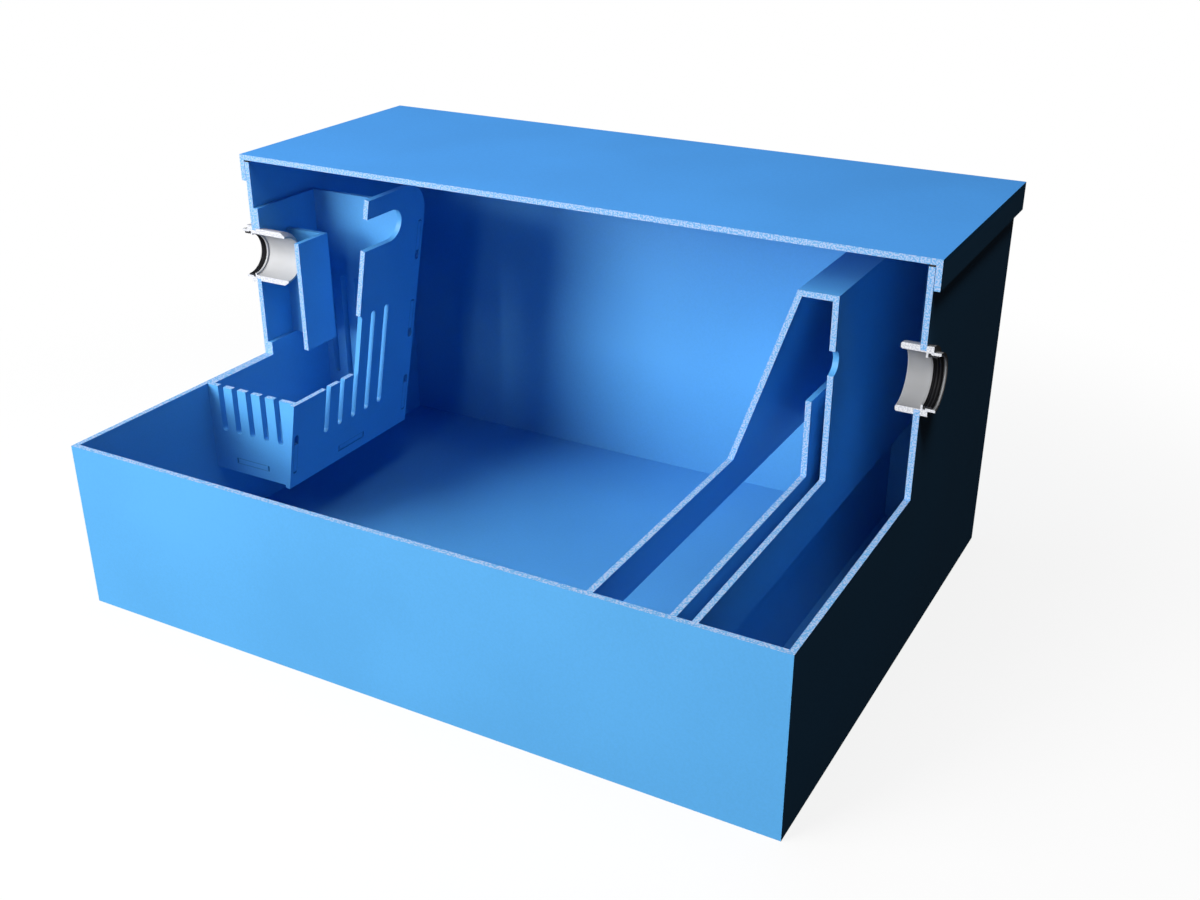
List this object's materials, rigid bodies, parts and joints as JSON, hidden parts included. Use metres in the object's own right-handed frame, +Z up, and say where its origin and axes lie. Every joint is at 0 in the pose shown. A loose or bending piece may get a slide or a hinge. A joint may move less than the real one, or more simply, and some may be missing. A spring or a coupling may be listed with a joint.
{
  "type": "cutaway grease trap",
  "caption": "Sheet-plastic grease trap sectioned on its pipe axes, with a loose lid, hanging strainer basket, inlet deflector, sloped baffle, weir and sealed pipe sockets.",
  "frame": {"origin": "centre of the tank's underside, on the plane that it stands on", "axes": "+X along the tank with the flow, from the inlet to the outlet, +Y from the open front to the back wall, +Z up"},
  "size_m": [0.8284, 0.6065, 0.428],
  "materials": {
    "sheet": "sky blue sheet with a satin surface, paler and grainy where it is sawn",
    "fitting": "white moulded fitting, satin, grainy where it is sawn",
    "rubber": "matt black rubber"
  },
  "bodies": {
    "root": {"tank_floor": "sheet", "tank_front_wall": "sheet", "tank_back_wall": "sheet", "tank_inlet_wall": "sheet", "tank_outlet_wall": "sheet", "lid_panel": "sheet", "lid_inlet_rim": "sheet", "lid_outlet_rim": "sheet", "lid_back_rim": "sheet", "lid_gasket": "rubber", "sloped_baffle": "sheet", "hood_top": "sheet", "weir_plate": "sheet", "outlet_baffle": "sheet", "basket_back_panel": "sheet", "basket_front_panel": "sheet", "basket_near_side": "sheet", "basket_far_side": "sheet", "basket_floor": "sheet", "deflector_front": "sheet", "deflector_side": "sheet", "inlet_socket": "fitting", "inlet_stub": "fitting", "inlet_seal": "rubber", "outlet_socket": "fitting", "outlet_stub": "fitting", "outlet_seal": "rubber"}
  },
  "joints": []
}
